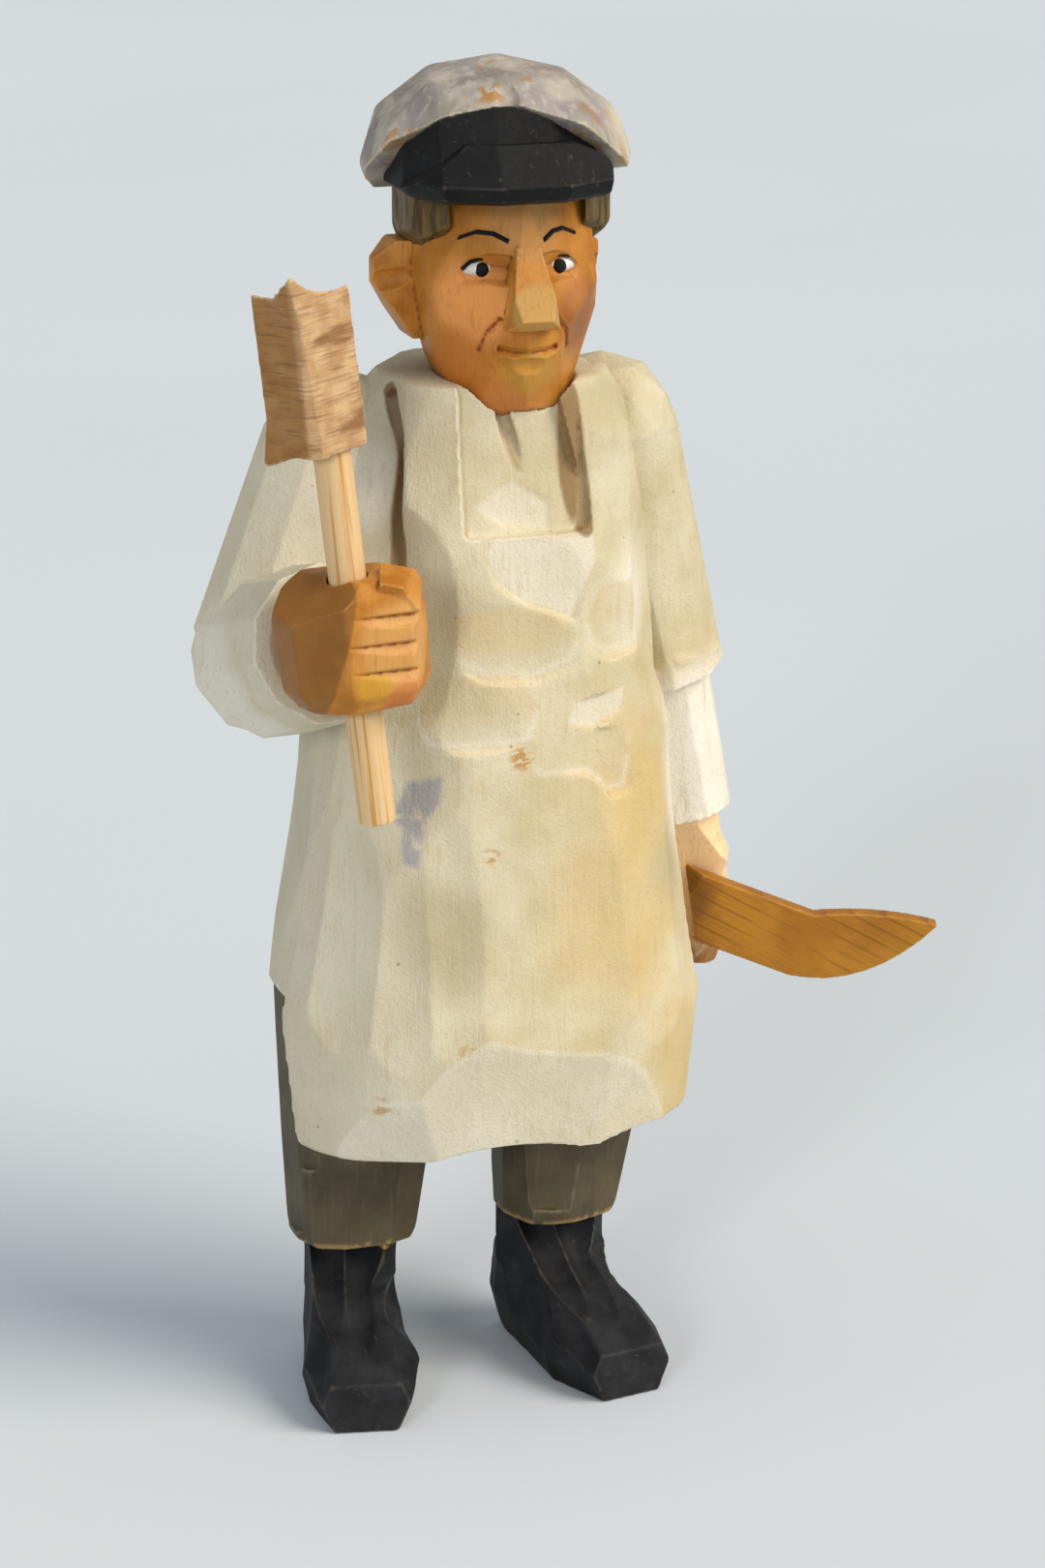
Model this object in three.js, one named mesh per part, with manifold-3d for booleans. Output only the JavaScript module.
// A carved and painted baker figure, about 225 mm tall, made of carved blocks joined by wooden pegs.
// Millimetres, +Z up. The figure faces -Y, so its right hand is on the -X side.
// Blocks are set out from the coat's upright middle line, and the whole figure is centred at the end.
import * as THREE from "three";
import { mergeVertices } from "three/addons/utils/BufferGeometryUtils.js";
import Module from "manifold-3d";

const wasm = await Module();
wasm.setup();

// Fits
const GLUE_GAP = 0.3;
const PEG_GAP = 0.3;
const SLIDING_GAP = 0.3;

// Pegs
const PEG_DIAMETER = 5;
const PEG_COVER = 3;
const ANKLE_PEG_LENGTH = 20;
const HIP_PEG_LENGTH = 24;
const NECK_PEG_LENGTH = 24;
const SHOULDER_PEG_IN_BODY = 8;
const CAP_PEG_IN_HEAD = 9;

// Shoes, each set out from the middle of its ankle
const ANKLE_HEIGHT = 20;
const ANKLE_SPACING = 36;
const STANCE_SHIFT = -3.5;
const ANKLE_BACK = 4.8;
const HEEL_LENGTH = 10.5;
const TOE_LENGTH = 28.5;
const HEEL_WIDTH = 13;
const ANKLE_WIDTH = 15.5;
const INSTEP_WIDTH = 18.5;
const BALL_WIDTH = 21.5;
const TOE_WIDTH = 15;
const TOE_HEIGHT = 8.5;
const SOLE_INSET = 2.2;
const SHOE_BULGE_HEIGHT = 8;
const TOE_OUT_DEGREES = 11;
const INSTEP_REACH = 6.3;
const BALL_REACH = 16.5;
const BALL_HEIGHT = 14.4;
const HEEL_RIDGE_WIDTH = 11;
const INSTEP_RIDGE_WIDTH = 14;
const BALL_RIDGE_WIDTH = 10.5;
const TOE_RIDGE_WIDTH = 12;

// Trouser legs
const LEG_LENGTH = 51;
const HIP_SPACING = 31;
const HIP_SHIFT = -1.2;
const HIP_BACK = 5.4;
const LEG_FOOT_WIDTH = 15.5;
const LEG_CUFF_WIDTH = 21.4;
const LEG_CUFF_DEPTH = 22.6;
const LEG_CUFF_HEIGHT = 3.2;
const LEG_TOP_WIDTH = 27;
const LEG_TOP_DEPTH = 24;

// Coat, from the hem up
const SKIRT_LENGTH = 37;
const CHEST_LENGTH = 40;
const YOKE_LENGTH = 14;
const COLLAR_LENGTH = 12;
const HEM_WIDTH = 69;
const HEM_DEPTH = 53;
const WAIST_WIDTH = 60;
const WAIST_DEPTH = 50;
const CHEST_WIDTH = 55;
const CHEST_DEPTH = 46;
const SHOULDER_WIDTH = 50;
const SHOULDER_DEPTH = 41;
const COLLAR_WIDTH = 35;
const COLLAR_DEPTH = 33;
const COLLAR_FORWARD = 4;

// Apron, carved proud of the coat in front
const APRON_PROUD = 1.6;
const APRON_DROP = 24.2;
const APRON_HEM_WIDTH = 66;
const APRON_HEM_DEPTH = 54;
const APRON_SIDE_FORWARD = 8;
const BIB_WIDTH = 40;
const BIB_OPENING_WIDTH = 20.5;
const BIB_TOP_BELOW_COLLAR = 22;
const BIB_FLARE_BELOW_COLLAR = 48;
const BIB_FLARE_HEIGHT = 18;

// Head and neck
const HEAD_SHIFT = 1.5;
const HEAD_FORWARD = 8.5;
const NECK_SINK = 9;
const NECK_WIDTH = 21;
const NECK_DEPTH = 24;
const NECK_BACK = 2;
const CHIN_BELOW_COLLAR = 0.5;
const CHIN_UNDERCUT = 3.5;
const CHIN_WIDTH = 25;
const CHIN_DEPTH = 30;
const CHIN_FORWARD = 1;
const JAW_HEIGHT = 10.5;
const JAW_WIDTH = 30;
const CHEEK_HEIGHT = 11;
const HEAD_WIDTH = 32;
const HEAD_DEPTH = 34;
const SKULL_TAPER = 2;
const NOSE_LENGTH = 11;
const NOSE_WIDTH = 6.5;
const NOSE_REACH = 5;
const NOSE_TIP_HEIGHT = 2;
const NOSE_UNDERCUT = 1.5;
const NOSE_ROOT = 4;
const EAR_HEIGHT = 15;
const EAR_REACH = 3.4;
const EAR_DEPTH = 9;
const EAR_BULGE = 2;
const EAR_ROOT = 1.5;
const EAR_BACK = 4;
const EAR_TOP_SHARE = 0.7;

// Cap, set out in its own tilted frame on the head's top
const CAP_SEAT_ABOVE_COLLAR = 32.6;
const SEAT_TILT_DEGREES = 18;
const CROWN_TILT_DEGREES = 27;
const CAP_ROLL_DEGREES = 3;
const BAND_WIDTH = 36;
const BAND_DEPTH = 38;
const BAND_HEIGHT = 5.2;
const CROWN_WIDTH = 40.5;
const CROWN_DEPTH = 42;
const CROWN_RIM_RISE = 1.4;
const CROWN_SIDE_HEIGHT = 4.6;
const CROWN_SIDE_LEAN = 3.5;
const CROWN_DOME_HEIGHT = 5;
const CROWN_TOP_WIDTH = 18;
const VISOR_FLARE = 3.6;
const VISOR_THICKNESS = 4.6;
const VISOR_DROP = 10;
const VISOR_EDGE_ABOVE_COLLAR = 32.4;

// Sleeves
const ARM_INSET = 3;
const ARM_BACK = 3;
const ARM_DROP = 11;
const SHOULDER_BULK = 23;
const BALL_SHARE = 0.96;
const RIGHT_ELBOW_CLEAR = 6.4;
const RIGHT_ELBOW_FORWARD = 5;
const RIGHT_ELBOW_DROP = 33;
const RIGHT_ELBOW_BULK = 26;
const RIGHT_CUFF_BULK = 23.5;
const CUFF_TO_GRIP = 12;
const LEFT_ELBOW_CLEAR = 3.6;
const LEFT_ELBOW_DROP = 37;
const LEFT_ELBOW_BACK = 1;
const LEFT_ELBOW_BULK = 18;
const LEFT_CUFF_CLEAR = 6.7;
const LEFT_CUFF_DROP = 31;
const LEFT_CUFF_BACK = 1;
const LEFT_CUFF_BULK = 15.5;

// Hands
const WRIST_DIAMETER = 12;
const WRIST_SINK = 6;
const FIST_WIDTH = 24;
const FIST_DEPTH = 20;
const FIST_HEIGHT = 20.5;
const GRIP_IN = 3.3;
const GRIP_CLEAR = 13.4;
const GRIP_RISE = 11.5;
const PALM_WIDTH = 13;
const PALM_DEPTH = 10;
const PALM_LENGTH = 11.5;
const THUMB_SIZE = 5;
const THUMB_RISE = 3;
const FINGER_ALONG = 3;

// Brush: a block set off centre on a round handle, with one end hollowed
const HANDLE_DIAMETER = 6;
const HANDLE_BELOW_GRIP = 30;
const HANDLE_ABOVE_GRIP = 30.5;
const HANDLE_IN_BLOCK = 12;
const BRUSH_LEAN_DEGREES = 6.4;
const BRUSH_WIDTH = 10.8;
const BRUSH_LENGTH = 30;
const BRUSH_TURN_DEGREES = 27;
const BRUSH_OFF_CENTRE = 1.9;
const DISH_RADIUS = 12;
const DISH_OFFSET = 4;
const DISH_PEAK = 3.9;

// Paddle: a plank that curves up to its tip, with a slanted inner end
const PADDLE_THICKNESS = 3.4;
const PADDLE_WIDTH = 11.6;
const PADDLE_INNER = 3;
const PADDLE_END_SLANT = 6.5;
const PADDLE_STRAIGHT = 19;
const PADDLE_LENGTH = 39.5;
const PADDLE_TIP_RISE = 11.7;
const PADDLE_BELLY_BACK = 7;
const PADDLE_BELLY_RISE = 2;
const PADDLE_SADDLE_RUN = 10;
const PADDLE_SADDLE_DIP = 1;
const PADDLE_BELOW_CUFF = 16.2;
const PADDLE_OUT = 1;
const PADDLE_FORWARD = 5.2;
const PADDLE_TURN_DEGREES = -18;
const PADDLE_TILT_DEGREES = 21;

// Facets round each shape
const COAT_SIDES = 16;
const HEAD_SIDES = 14;
const EAR_SIDES = 8;
const CAP_SIDES = 16;
const LIMB_SIDES = 10;
const LEG_SIDES = 12;
const FINGER_SIDES = 8;
const PEG_SIDES = 12;
const HANDLE_SIDES = 16;
const CUTTER_SIDES = 24;

// How far a cutter runs past what it cuts
const OVERRUN = 1;

const radians = THREE.MathUtils.degToRad;
const point = (x, y, z) => new THREE.Vector3(x, y, z);

// Heights that the pieces share
const coatHem = ANKLE_HEIGHT + LEG_LENGTH;
const waistHeight = coatHem + SKIRT_LENGTH;
const chestHeight = waistHeight + CHEST_LENGTH;
const shoulderHeight = chestHeight + YOKE_LENGTH;
const collarHeight = shoulderHeight + COLLAR_LENGTH;

// A closed geometry as a solid that can be joined and cut
function solid(geometry) {
  const bare = geometry.clone();
  bare.deleteAttribute("normal");
  bare.deleteAttribute("uv");
  const merged = mergeVertices(bare, 1e-4);
  return new wasm.Manifold(new wasm.Mesh({
    numProp: 3,
    vertProperties: merged.getAttribute("position").array,
    triVerts: Uint32Array.from(merged.index.array),
  }));
}

// A solid as a geometry that a mesh can show
function geometryOf(body) {
  const mesh = body.getMesh();
  const geometry = new THREE.BufferGeometry();
  geometry.setAttribute("position", new THREE.BufferAttribute(Float32Array.from(mesh.vertProperties), 3));
  geometry.setIndex(new THREE.BufferAttribute(Uint32Array.from(mesh.triVerts), 1));
  geometry.computeVertexNormals();
  return geometry;
}

// A skin over rings that run the same way round, closed flat at both ends
function loft(rings) {
  const sides = rings[0].length;
  const faces = [];
  for (let level = 0; level + 1 < rings.length; level += 1) {
    for (let side = 0; side < sides; side += 1) {
      const low = level * sides + side;
      const lowNext = level * sides + ((side + 1) % sides);
      faces.push(low, lowNext, lowNext + sides, low, lowNext + sides, low + sides);
    }
  }
  const top = (rings.length - 1) * sides;
  for (let side = 1; side + 1 < sides; side += 1) {
    faces.push(0, side + 1, side, top, top + side, top + side + 1);
  }
  const geometry = new THREE.BufferGeometry().setFromPoints(rings.flat());
  geometry.setIndex(faces);
  return solid(geometry);
}

// A rounded outline across an upright axis; squareness 2 is an ellipse and more is boxier
function ring({ x = 0, y = 0, z, wide, deep }, sides, squareness = 2.3) {
  const points = [];
  for (let side = 0; side < sides; side += 1) {
    const angle = (2 * Math.PI * (side + 0.5)) / sides;
    const across = Math.sign(Math.cos(angle)) * Math.abs(Math.cos(angle)) ** (2 / squareness);
    const along = Math.sign(Math.sin(angle)) * Math.abs(Math.sin(angle)) ** (2 / squareness);
    points.push(point(x + (wide / 2) * across, y + (deep / 2) * along, z));
  }
  return points;
}

// A block carved round an upright axis, grown on every side when it is used as a cutter
function column(stations, sides, grow = 0, squareness = 2.3) {
  const last = stations.length - 1;
  const rings = stations.map((station, index) => ring({
    ...station,
    z: station.z + (index === last ? grow : 0) - (index === 0 ? grow : 0),
    wide: station.wide + 2 * grow,
    deep: station.deep + 2 * grow,
  }, sides, squareness));
  return loft(rings);
}

// A block carved along a straight limb from one place to another
function limb(from, to, fromBulk, toBulk, sides = LIMB_SIDES, deepShare = 1) {
  const axis = to.clone().sub(from);
  const turn = new THREE.Quaternion().setFromUnitVectors(point(0, 0, 1), axis.clone().normalize());
  const place = new THREE.Matrix4().compose(from, turn, point(1, 1, 1));
  const stations = [
    { z: 0, wide: fromBulk, deep: fromBulk * deepShare },
    { z: axis.length(), wide: toBulk, deep: toBulk * deepShare },
  ];
  return column(stations, sides, 0, 2).transform(place.elements);
}

// A straight round rod between two places
function rod(from, to, diameter, sides = PEG_SIDES) {
  const axis = to.clone().sub(from);
  const geometry = new THREE.CylinderGeometry(diameter / 2, diameter / 2, axis.length(), sides);
  const turn = new THREE.Quaternion().setFromUnitVectors(point(0, 1, 0), axis.clone().normalize());
  const middle = from.clone().addScaledVector(axis, 0.5);
  return solid(geometry.applyMatrix4(new THREE.Matrix4().compose(middle, turn, point(1, 1, 1))));
}

// A box between two corners
function block(low, high) {
  const size = high.clone().sub(low);
  const middle = low.clone().addScaledVector(size, 0.5);
  return solid(new THREE.BoxGeometry(size.x, size.y, size.z).translate(middle.x, middle.y, middle.z));
}

// A peg from one place to another, with the hole that its blocks share
function pegBetween(start, end) {
  const along = end.clone().sub(start).normalize();
  const holeStart = start.clone().addScaledVector(along, -PEG_GAP);
  const holeEnd = end.clone().addScaledVector(along, PEG_GAP);
  return {
    body: rod(start, end, PEG_DIAMETER),
    hole: rod(holeStart, holeEnd, PEG_DIAMETER + 2 * PEG_GAP),
  };
}

// An upright peg, half of it on each side of a seam
function uprightPeg(seam, length) {
  const half = point(0, 0, length / 2);
  return pegBetween(seam.clone().sub(half), seam.clone().add(half));
}

// Materials, one for each sub-part
const CREAM_PAINT = 0xe6dec4;
const WHITE_PAINT = 0xe4e0d8;
const BLACK_PAINT = 0x2c2c2e;
const GREY_PAINT = 0x5b5850;
const FLESH_WOOD = 0xc88f4e;
const PINE_WOOD = 0xd9b483;
const BROWN_WOOD = 0x9c7452;
const GOLD_WOOD = 0xb07a38;

const figure = new THREE.Group();

function addPiece(parent, name, body, colour, roughness = 0.7) {
  const material = new THREE.MeshStandardMaterial({ color: colour, roughness, metalness: 0 });
  const mesh = new THREE.Mesh(geometryOf(body), material);
  mesh.name = name;
  parent.add(mesh);
  return mesh;
}

// A turned frame inside its parent; outOf takes a solid from the frame to its parent, and into back again
function turnedFrame(parent, position, turnDegrees) {
  const frame = new THREE.Group();
  frame.position.copy(position);
  frame.rotation.set(...turnDegrees.map(radians), "ZYX");
  frame.updateMatrix();
  parent.add(frame);
  return frame;
}
const outOf = (frame, body) => body.transform(frame.matrix.elements);
const into = (frame, body) => body.transform(frame.matrix.clone().invert().elements);

// Coat and apron
const coatStations = [
  { z: coatHem, wide: HEM_WIDTH, deep: HEM_DEPTH },
  { z: waistHeight, wide: WAIST_WIDTH, deep: WAIST_DEPTH },
  { z: chestHeight, wide: CHEST_WIDTH, deep: CHEST_DEPTH },
  { z: shoulderHeight, wide: SHOULDER_WIDTH, deep: SHOULDER_DEPTH },
  { z: collarHeight, wide: COLLAR_WIDTH, deep: COLLAR_DEPTH, y: -COLLAR_FORWARD },
];
const apronHem = coatHem - APRON_DROP;

// Half the coat's width at a height between its hem and its collar
function coatSideAt(z) {
  const above = coatStations.findIndex((station) => station.z >= z);
  const low = coatStations[above - 1];
  const high = coatStations[above];
  return THREE.MathUtils.mapLinear(z, low.z, high.z, low.wide, high.wide) / 2;
}

function apronOutline(grow) {
  const side = Math.max(HEM_WIDTH, APRON_HEM_WIDTH);
  const bibTop = collarHeight - BIB_TOP_BELOW_COLLAR;
  const flareTop = collarHeight - BIB_FLARE_BELOW_COLLAR;
  const top = collarHeight + grow + OVERRUN;
  const half = BIB_WIDTH / 2 + grow;
  const opening = BIB_OPENING_WIDTH / 2 - grow;
  const rightHalf = [
    [side, apronHem - grow - OVERRUN], [side, flareTop - BIB_FLARE_HEIGHT + grow], [half, flareTop + grow],
    [half, top], [opening, top], [opening, bibTop + grow],
  ];
  const leftHalf = rightHalf.map(([x, z]) => [-x, z]).reverse();
  const shape = new THREE.Shape([...rightHalf, ...leftHalf].map(([x, z]) => new THREE.Vector2(x, z)));
  const reach = HEM_DEPTH;
  const sheet = new THREE.ExtrudeGeometry(shape, { depth: reach, bevelEnabled: false });
  sheet.rotateX(Math.PI / 2);
  sheet.translate(0, -APRON_SIDE_FORWARD + grow, 0);
  return solid(sheet);
}

function coatAndApron(grow) {
  const coat = column(coatStations, COAT_SIDES, grow);
  const proud = coatStations.map((station) => ({
    ...station,
    wide: station.wide + 2 * APRON_PROUD,
    deep: station.deep + 2 * APRON_PROUD,
  }));
  const hem = { z: apronHem, wide: APRON_HEM_WIDTH, deep: APRON_HEM_DEPTH };
  const apron = column([hem, ...proud], COAT_SIDES, grow).intersect(apronOutline(grow));
  return coat.add(apron);
}

// Neck and head
const headMiddle = point(HEAD_SHIFT, -HEAD_FORWARD, 0);
const chinHeight = collarHeight - CHIN_BELOW_COLLAR;
const jawHeight = chinHeight + JAW_HEIGHT;
const cheekHeight = jawHeight + CHEEK_HEIGHT;
const capSeat = point(headMiddle.x, headMiddle.y, collarHeight + CAP_SEAT_ABOVE_COLLAR);
const headStations = [
  { z: collarHeight - NECK_SINK, wide: NECK_WIDTH, deep: NECK_WIDTH, back: NECK_BACK },
  { z: chinHeight - CHIN_UNDERCUT, wide: NECK_WIDTH, deep: NECK_DEPTH, back: NECK_BACK / 2 },
  { z: chinHeight, wide: CHIN_WIDTH, deep: CHIN_DEPTH, back: -CHIN_FORWARD },
  { z: jawHeight, wide: JAW_WIDTH, deep: HEAD_DEPTH, back: 0 },
  { z: cheekHeight, wide: HEAD_WIDTH, deep: HEAD_DEPTH, back: 0 },
  { z: capSeat.z + HEAD_DEPTH / 2, wide: HEAD_WIDTH - SKULL_TAPER, deep: HEAD_DEPTH - SKULL_TAPER, back: 0 },
].map((station) => ({ ...station, x: headMiddle.x, y: headMiddle.y + station.back }));
const headShape = (grow) => column(headStations, HEAD_SIDES, grow);

// Cap frame: its own Z is square to the seat on the head, which is tipped back
const capFrame = turnedFrame(figure, capSeat, [-SEAT_TILT_DEGREES, CAP_ROLL_DEGREES, 0]);
// Crown frame: on top of the band, which is taller in front, so it is tipped back further
const crownTurn = [SEAT_TILT_DEGREES - CROWN_TILT_DEGREES, 0, 0];
const crownFrame = turnedFrame(capFrame, point(0, 0, BAND_HEIGHT), crownTurn);
const crownHeight = CROWN_RIM_RISE + CROWN_SIDE_HEIGHT + CROWN_DOME_HEIGHT;
const capPeg = pegBetween(point(0, 0, -CAP_PEG_IN_HEAD), point(0, 0, BAND_HEIGHT + crownHeight - PEG_COVER));
const neckPeg = uprightPeg(
  point(headMiddle.x, headMiddle.y + NECK_BACK, collarHeight - NECK_SINK), NECK_PEG_LENGTH,
);

function nose() {
  const front = headMiddle.y - HEAD_DEPTH / 2;
  const tip = cheekHeight - NOSE_LENGTH;
  const profile = [
    [front + NOSE_ROOT, tip], [front - NOSE_REACH + NOSE_UNDERCUT, tip],
    [front - NOSE_REACH, tip + NOSE_TIP_HEIGHT], [front, cheekHeight], [front + NOSE_ROOT, cheekHeight],
  ];
  const side = new THREE.Shape(profile.map(([y, z]) => new THREE.Vector2(y, z)));
  const wedge = new THREE.ExtrudeGeometry(side, { depth: NOSE_WIDTH, bevelEnabled: false });
  wedge.applyMatrix4(new THREE.Matrix4().makeBasis(point(0, 1, 0), point(0, 0, 1), point(1, 0, 0)));
  return solid(wedge.translate(headMiddle.x - NOSE_WIDTH / 2, 0, 0));
}

function ear(side) {
  const x = headMiddle.x + side * (HEAD_WIDTH / 2 + EAR_REACH / 2 - EAR_ROOT);
  const y = headMiddle.y + EAR_BACK;
  const low = (jawHeight + cheekHeight - EAR_HEIGHT) / 2;
  return column([
    { x, y, z: low, wide: EAR_REACH, deep: EAR_DEPTH / 2 },
    { x, y, z: low + (EAR_HEIGHT * 2) / 3, wide: EAR_REACH + EAR_BULGE, deep: EAR_DEPTH },
    { x, y, z: low + EAR_HEIGHT, wide: EAR_REACH, deep: EAR_DEPTH * EAR_TOP_SHARE },
  ], EAR_SIDES);
}

function headBlock() {
  const reach = BAND_DEPTH;
  const aboveSeat = block(point(-reach, -reach, -GLUE_GAP), point(reach, reach, 2 * reach));
  return headShape(0).add(nose()).add(ear(-1)).add(ear(1))
    .subtract(outOf(capFrame, aboveSeat))
    .subtract(outOf(capFrame, capPeg.hole))
    .subtract(neckPeg.hole);
}

// Cap
function capCrown() {
  const rim = GLUE_GAP + CROWN_RIM_RISE;
  const side = rim + CROWN_SIDE_HEIGHT;
  return column([
    { z: GLUE_GAP, wide: BAND_WIDTH, deep: BAND_DEPTH },
    { z: rim, wide: CROWN_WIDTH, deep: CROWN_DEPTH },
    { z: side, wide: CROWN_WIDTH - CROWN_SIDE_LEAN, deep: CROWN_DEPTH - CROWN_SIDE_LEAN },
    { z: side + CROWN_DOME_HEIGHT, wide: CROWN_TOP_WIDTH, deep: CROWN_TOP_WIDTH },
  ], CAP_SIDES).subtract(into(crownFrame, capPeg.hole));
}

function capBand() {
  const reach = BAND_DEPTH;
  const aboveBand = block(point(-reach, -reach, 0), point(reach, reach, reach));
  return column([
    { z: 0, wide: BAND_WIDTH, deep: BAND_DEPTH },
    { z: BAND_HEIGHT + BAND_DEPTH / 2, wide: BAND_WIDTH, deep: BAND_DEPTH },
  ], CAP_SIDES).subtract(outOf(crownFrame, aboveBand)).subtract(capPeg.hole);
}

// The visor is a flared skirt under the band, cut level in front and gone at the back
function capVisor() {
  const flared = (inset, overrun) => column([
    { z: -VISOR_DROP, wide: BAND_WIDTH + VISOR_FLARE, deep: BAND_DEPTH + VISOR_FLARE },
    { z: -GLUE_GAP, wide: BAND_WIDTH, deep: BAND_DEPTH },
  ].map(({ z, wide, deep }) => ({ z, wide: wide - 2 * inset, deep: deep - 2 * inset })), CAP_SIDES, overrun);
  const skirt = flared(0, 0).subtract(flared(VISOR_THICKNESS, OVERRUN));
  const reach = 2 * BAND_DEPTH;
  const level = collarHeight + VISOR_EDGE_ABOVE_COLLAR;
  const belowEdge = block(point(-reach, -reach, level - reach), point(reach, reach, level));
  return skirt.subtract(into(capFrame, belowEdge)).subtract(into(capFrame, headShape(GLUE_GAP)));
}

// Sleeves
const armHeight = collarHeight - ARM_DROP;
const armSide = SHOULDER_WIDTH / 2 - ARM_INSET;
const rightShoulder = point(-armSide, ARM_BACK, armHeight);
const leftShoulder = point(armSide, ARM_BACK, armHeight);
const rightElbowHeight = armHeight - RIGHT_ELBOW_DROP;
const rightElbow = point(
  -coatSideAt(rightElbowHeight) - RIGHT_ELBOW_CLEAR, ARM_BACK - RIGHT_ELBOW_FORWARD, rightElbowHeight,
);
const grip = point(
  rightElbow.x + GRIP_IN, -CHEST_DEPTH / 2 - APRON_PROUD - GRIP_CLEAR, rightElbowHeight + GRIP_RISE,
);
const rightForearm = grip.clone().sub(rightElbow).normalize();
const rightCuff = grip.clone().addScaledVector(rightForearm, -CUFF_TO_GRIP);
const leftElbowHeight = armHeight - LEFT_ELBOW_DROP;
const leftCuffHeight = leftElbowHeight - LEFT_CUFF_DROP;
const leftElbow = point(
  coatSideAt(leftElbowHeight) + LEFT_ELBOW_CLEAR, ARM_BACK + LEFT_ELBOW_BACK, leftElbowHeight,
);
const leftCuff = point(
  coatSideAt(leftCuffHeight) + LEFT_CUFF_CLEAR, leftElbow.y + LEFT_CUFF_BACK, leftCuffHeight,
);
const leftForearm = leftCuff.clone().sub(leftElbow).normalize();

const shoulderPegs = [rightShoulder, leftShoulder].map((shoulder) => {
  const outward = Math.sign(shoulder.x);
  const inner = SHOULDER_WIDTH / 2 - SHOULDER_PEG_IN_BODY;
  const outer = armSide + SHOULDER_BULK / 2 - PEG_COVER;
  const height = shoulder.z - PEG_DIAMETER;
  return pegBetween(point(outward * inner, shoulder.y, height), point(outward * outer, shoulder.y, height));
});

function ball(middle, diameter) {
  const sphere = new THREE.SphereGeometry(diameter / 2, LIMB_SIDES, LIMB_SIDES);
  return solid(sphere.translate(middle.x, middle.y, middle.z));
}

// The wrist is a stub whittled on the hand, which goes into a socket in the cuff
function wrist(hand, cuff, grow) {
  const inward = cuff.clone().sub(hand).normalize();
  const end = cuff.clone().addScaledVector(inward, WRIST_SINK + grow);
  return rod(hand, end, WRIST_DIAMETER + 2 * grow, LIMB_SIDES);
}

// The balls at the shoulder and elbow are a little slimmer than the limbs that they join
function sleeve(shoulder, elbow, cuff, elbowBulk, cuffBulk, hand, peg) {
  return limb(shoulder, elbow, SHOULDER_BULK, elbowBulk)
    .add(ball(shoulder, SHOULDER_BULK * BALL_SHARE))
    .add(ball(elbow, elbowBulk * BALL_SHARE))
    .add(limb(elbow, cuff, elbowBulk, cuffBulk))
    .subtract(coatAndApron(GLUE_GAP))
    .subtract(headShape(GLUE_GAP))
    .subtract(wrist(hand, cuff, GLUE_GAP))
    .subtract(peg.hole);
}

// Everything on the sleeve's side of a cuff
function cuffSide(cuff, outward) {
  const reach = 2 * FIST_WIDTH;
  const edge = cuff.clone().addScaledVector(outward, GLUE_GAP);
  return rod(edge.clone().addScaledVector(outward, -reach), edge, 2 * reach, CUTTER_SIDES);
}

// Brush frame: its own Z runs up the handle, through the fist
const brushFrame = turnedFrame(figure, grip, [0, -BRUSH_LEAN_DEGREES, 0]);
const handleHole = rod(
  point(0, 0, -FIST_HEIGHT), point(0, 0, FIST_HEIGHT), HANDLE_DIAMETER + 2 * SLIDING_GAP, HANDLE_SIDES,
);

// The fist is one outline, in shares of its width and depth, repeated at shares of its height
function rightFist() {
  const half = FIST_HEIGHT / 2;
  const outline = [
    [-0.3, 0.6], [-0.5, 0.2], [-0.44, -0.12], [-0.14, -0.44],
    [0.3, -0.44], [0.47, -0.14], [0.38, 0.3], [0.05, 0.5],
  ];
  const level = (z, share) => outline
    .map(([x, y]) => point(x * FIST_WIDTH * share, y * FIST_DEPTH * share, z));
  const knuckles = loft([
    level(-half, 0.78),
    level(-half * 0.7, 0.96),
    level(half * 0.4, 1),
    level(half * 0.8, 0.92),
    level(half, 0.7),
  ]);
  const cuffCut = into(brushFrame, cuffSide(rightCuff, rightForearm));
  const stub = into(brushFrame, wrist(grip, rightCuff, 0));
  return knuckles.subtract(cuffCut).add(stub).subtract(handleHole);
}

function brushHandle() {
  return rod(
    point(0, 0, -HANDLE_BELOW_GRIP), point(0, 0, HANDLE_ABOVE_GRIP + HANDLE_IN_BLOCK),
    HANDLE_DIAMETER, HANDLE_SIDES,
  );
}

function brushHead() {
  const half = BRUSH_WIDTH / 2;
  const top = HANDLE_ABOVE_GRIP + BRUSH_LENGTH;
  const turn = new THREE.Matrix4().makeRotationZ(radians(BRUSH_TURN_DEGREES));
  const offset = point(-1, 1, 0).normalize().multiplyScalar(BRUSH_OFF_CENTRE);
  const aside = turn.clone().multiply(new THREE.Matrix4().makeTranslation(offset));
  const stick = block(point(-half, -half, HANDLE_ABOVE_GRIP), point(half, half, top))
    .transform(aside.elements);
  const far = point(1, 1, 0).normalize().multiplyScalar(DISH_OFFSET).applyMatrix4(aside);
  const scoop = new THREE.SphereGeometry(DISH_RADIUS, CUTTER_SIDES, CUTTER_SIDES / 2);
  const dish = solid(scoop.translate(far.x, far.y, top + DISH_PEAK));
  const socket = rod(
    point(0, 0, 0), point(0, 0, HANDLE_ABOVE_GRIP + HANDLE_IN_BLOCK + GLUE_GAP),
    HANDLE_DIAMETER + 2 * GLUE_GAP, HANDLE_SIDES,
  );
  return stick.subtract(dish).subtract(socket);
}

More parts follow.
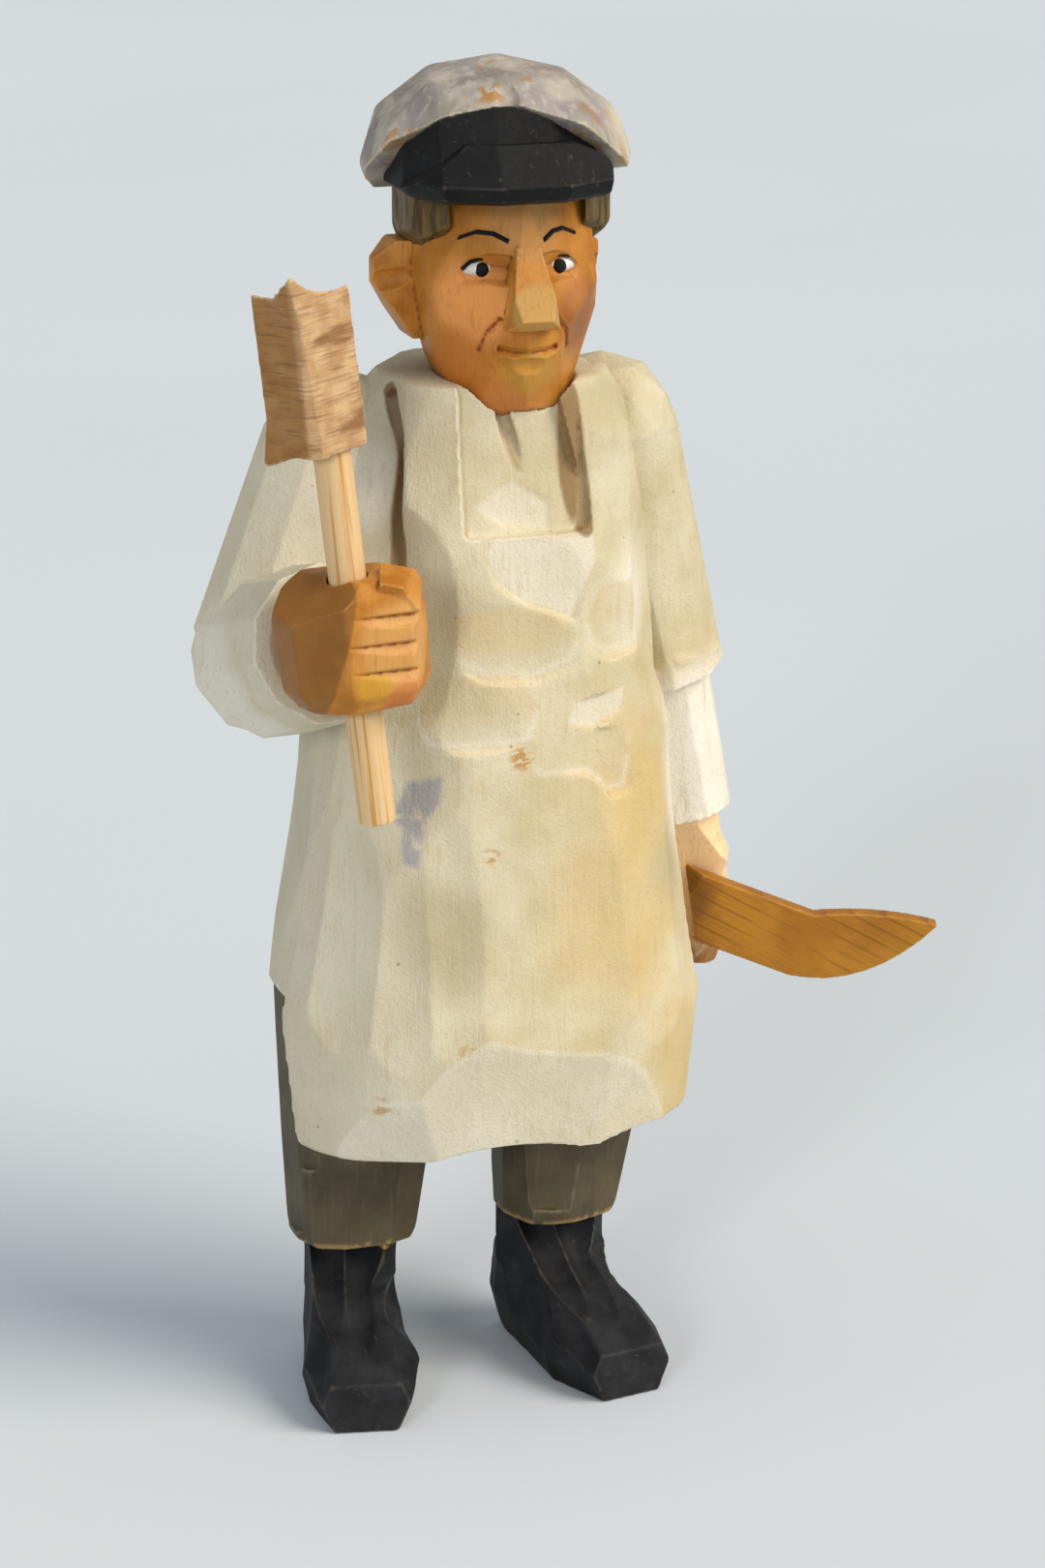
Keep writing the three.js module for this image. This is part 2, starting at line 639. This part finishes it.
// Paddle frame: its own X runs out along the plank, and Y is through the plank
const paddleFrame = turnedFrame(
  figure, leftCuff.clone().add(point(PADDLE_OUT, -PADDLE_FORWARD, -PADDLE_BELOW_CUFF)),
  [0, PADDLE_TILT_DEGREES, PADDLE_TURN_DEGREES],
);
const inPaddle = (x, y, z) => point(x, y, z).applyMatrix4(paddleFrame.matrix);
const palmBehind = PADDLE_THICKNESS / 2 + SLIDING_GAP + PALM_DEPTH / 2;
const palm = inPaddle(0, palmBehind, 0);

function paddle() {
  const half = PADDLE_WIDTH / 2;
  const outline = new THREE.Shape();
  outline.moveTo(PADDLE_END_SLANT - PADDLE_INNER, -half);
  outline.lineTo(PADDLE_STRAIGHT, -half);
  outline.quadraticCurveTo(
    PADDLE_LENGTH - PADDLE_BELLY_BACK, PADDLE_BELLY_RISE - half, PADDLE_LENGTH, PADDLE_TIP_RISE,
  );
  outline.quadraticCurveTo(
    PADDLE_STRAIGHT + PADDLE_SADDLE_RUN, PADDLE_TIP_RISE - PADDLE_SADDLE_DIP, PADDLE_STRAIGHT, half,
  );
  outline.lineTo(-PADDLE_INNER, half);
  const plank = new THREE.ExtrudeGeometry(outline, {
    depth: PADDLE_THICKNESS, bevelEnabled: false, curveSegments: 8,
  });
  plank.rotateX(Math.PI / 2);
  return solid(plank.translate(0, PADDLE_THICKNESS / 2, 0));
}

// The left hand lies behind the plank, with the thumb over its top edge and a finger under its end
function leftHand() {
  const half = PADDLE_WIDTH / 2;
  const front = -PADDLE_THICKNESS / 2 - SLIDING_GAP - THUMB_SIZE / 3;
  const flatness = PALM_DEPTH / PALM_WIDTH;
  const fingers = inPaddle(FINGER_ALONG, palmBehind, -PALM_LENGTH);
  const crook = (along, behind, edge) => limb(
    inPaddle(behind, palmBehind, edge + Math.sign(edge) * THUMB_RISE),
    inPaddle(along, front, edge + (Math.sign(edge) * THUMB_RISE) / 3),
    THUMB_SIZE, THUMB_SIZE, FINGER_SIDES,
  );
  const slide = block(
    point(-PADDLE_INNER - PALM_WIDTH, -PADDLE_THICKNESS / 2 - SLIDING_GAP, -half - SLIDING_GAP),
    point(PADDLE_STRAIGHT, PADDLE_THICKNESS / 2 + SLIDING_GAP, half + SLIDING_GAP),
  );
  return limb(leftCuff, palm, PALM_WIDTH, PALM_WIDTH, LIMB_SIDES, flatness)
    .add(limb(palm, fingers, PALM_WIDTH, PALM_WIDTH - THUMB_RISE, LIMB_SIDES, flatness))
    .add(crook(0, 0, half))
    .add(crook(0, FINGER_ALONG, -half))
    .subtract(cuffSide(leftCuff, leftForearm))
    .add(wrist(palm, leftCuff, 0))
    .subtract(outOf(paddleFrame, slide))
    .subtract(coatAndApron(GLUE_GAP));
}

// Legs and shoes
const sides = { right: -1, left: 1 };
const ankleAt = (side) => point(STANCE_SHIFT + (side * ANKLE_SPACING) / 2, ANKLE_BACK, ANKLE_HEIGHT);
const hipAt = (side) => point(HIP_SHIFT + (side * HIP_SPACING) / 2, HIP_BACK, coatHem);

// The legs are cut clear of the apron and of each other
function leg(ankle, hip, side, anklePeg, hipPeg) {
  const station = (rise, wide, deep) => {
    const middle = ankle.clone().lerp(hip, rise / LEG_LENGTH);
    return { x: middle.x, y: middle.y, z: middle.z, wide, deep };
  };
  const reach = side * 2 * LEG_TOP_WIDTH;
  const split = HIP_SHIFT + (side * GLUE_GAP) / 2;
  const otherSide = block(
    point(Math.min(split, split - reach), -LEG_TOP_WIDTH, 0),
    point(Math.max(split, split - reach), 2 * LEG_TOP_WIDTH, coatHem),
  );
  return column([
    station(GLUE_GAP, LEG_FOOT_WIDTH, LEG_FOOT_WIDTH),
    station(LEG_CUFF_HEIGHT, LEG_CUFF_WIDTH, LEG_CUFF_DEPTH),
    station(LEG_LENGTH - GLUE_GAP, LEG_TOP_WIDTH, LEG_TOP_DEPTH),
  ], LEG_SIDES)
    .subtract(coatAndApron(GLUE_GAP))
    .subtract(otherSide)
    .subtract(anklePeg.hole)
    .subtract(hipPeg.hole);
}

// A shoe is a row of six-sided sections from heel to toe, narrower at the sole than half way up
function shoe(pegHole) {
  const section = (y, wide, bulge, top, height) => [
    point(-wide / 2 + SOLE_INSET, y, 0), point(wide / 2 - SOLE_INSET, y, 0), point(wide / 2, y, bulge),
    point(top / 2, y, height), point(-top / 2, y, height), point(-wide / 2, y, bulge),
  ];
  return loft([
    section(HEEL_LENGTH, HEEL_WIDTH, SHOE_BULGE_HEIGHT, HEEL_RIDGE_WIDTH, ANKLE_HEIGHT * 0.8),
    section(HEEL_LENGTH * 0.6, ANKLE_WIDTH, SHOE_BULGE_HEIGHT, INSTEP_RIDGE_WIDTH, ANKLE_HEIGHT),
    section(-INSTEP_REACH, INSTEP_WIDTH, SHOE_BULGE_HEIGHT, INSTEP_RIDGE_WIDTH, ANKLE_HEIGHT),
    section(-BALL_REACH, BALL_WIDTH, SHOE_BULGE_HEIGHT, BALL_RIDGE_WIDTH, BALL_HEIGHT),
    section(-TOE_LENGTH, TOE_WIDTH, TOE_HEIGHT * 0.6, TOE_RIDGE_WIDTH, TOE_HEIGHT),
  ]).subtract(pegHole);
}

const hipHoles = [];
for (const [name, side] of Object.entries(sides)) {
  const ankle = ankleAt(side);
  const hip = hipAt(side);
  const anklePeg = uprightPeg(ankle, ANKLE_PEG_LENGTH);
  const hipPeg = uprightPeg(hip, HIP_PEG_LENGTH);
  const foot = turnedFrame(figure, point(ankle.x, ankle.y, 0), [0, 0, side * TOE_OUT_DEGREES]);
  hipHoles.push(hipPeg.hole);
  addPiece(foot, `${name}_shoe`, shoe(into(foot, anklePeg.hole)), BLACK_PAINT);
  addPiece(figure, `${name}_leg`, leg(ankle, hip, side, anklePeg, hipPeg), GREY_PAINT);
  addPiece(figure, `${name}_ankle_peg`, anklePeg.body, PINE_WOOD);
  addPiece(figure, `${name}_hip_peg`, hipPeg.body, PINE_WOOD);
}

// Body, head and cap
const torso = [...hipHoles, neckPeg.hole, ...shoulderPegs.map((peg) => peg.hole)]
  .reduce((body, hole) => body.subtract(hole), coatAndApron(0).subtract(headShape(GLUE_GAP)));
addPiece(figure, "torso_block", torso, CREAM_PAINT);
addPiece(figure, "neck_peg", neckPeg.body, PINE_WOOD);
addPiece(figure, "head_block", headBlock(), FLESH_WOOD);
addPiece(capFrame, "cap_peg", capPeg.body, PINE_WOOD);
addPiece(capFrame, "cap_band", capBand(), BLACK_PAINT);
addPiece(capFrame, "cap_visor", capVisor(), BLACK_PAINT);
addPiece(crownFrame, "cap_crown", capCrown(), WHITE_PAINT);

// Arms, hands and tools
addPiece(figure, "right_shoulder_peg", shoulderPegs[0].body, PINE_WOOD);
addPiece(figure, "left_shoulder_peg", shoulderPegs[1].body, PINE_WOOD);
addPiece(figure, "right_sleeve", sleeve(
  rightShoulder, rightElbow, rightCuff, RIGHT_ELBOW_BULK, RIGHT_CUFF_BULK, grip, shoulderPegs[0],
), CREAM_PAINT);
addPiece(figure, "left_sleeve", sleeve(
  leftShoulder, leftElbow, leftCuff, LEFT_ELBOW_BULK, LEFT_CUFF_BULK, palm, shoulderPegs[1],
), CREAM_PAINT);
addPiece(brushFrame, "right_fist", rightFist(), FLESH_WOOD);
addPiece(brushFrame, "brush_handle", brushHandle(), PINE_WOOD);
addPiece(brushFrame, "brush_head", brushHead(), BROWN_WOOD);
addPiece(figure, "left_hand", leftHand(), FLESH_WOOD);
addPiece(paddleFrame, "paddle", paddle(), GOLD_WOOD);

// The origin is the middle of the figure's box on the floor
const box = new THREE.Box3().setFromObject(figure);
const middle = box.getCenter(point(0, 0, 0));
figure.position.set(-middle.x, -middle.y, -box.min.z);

export default figure;
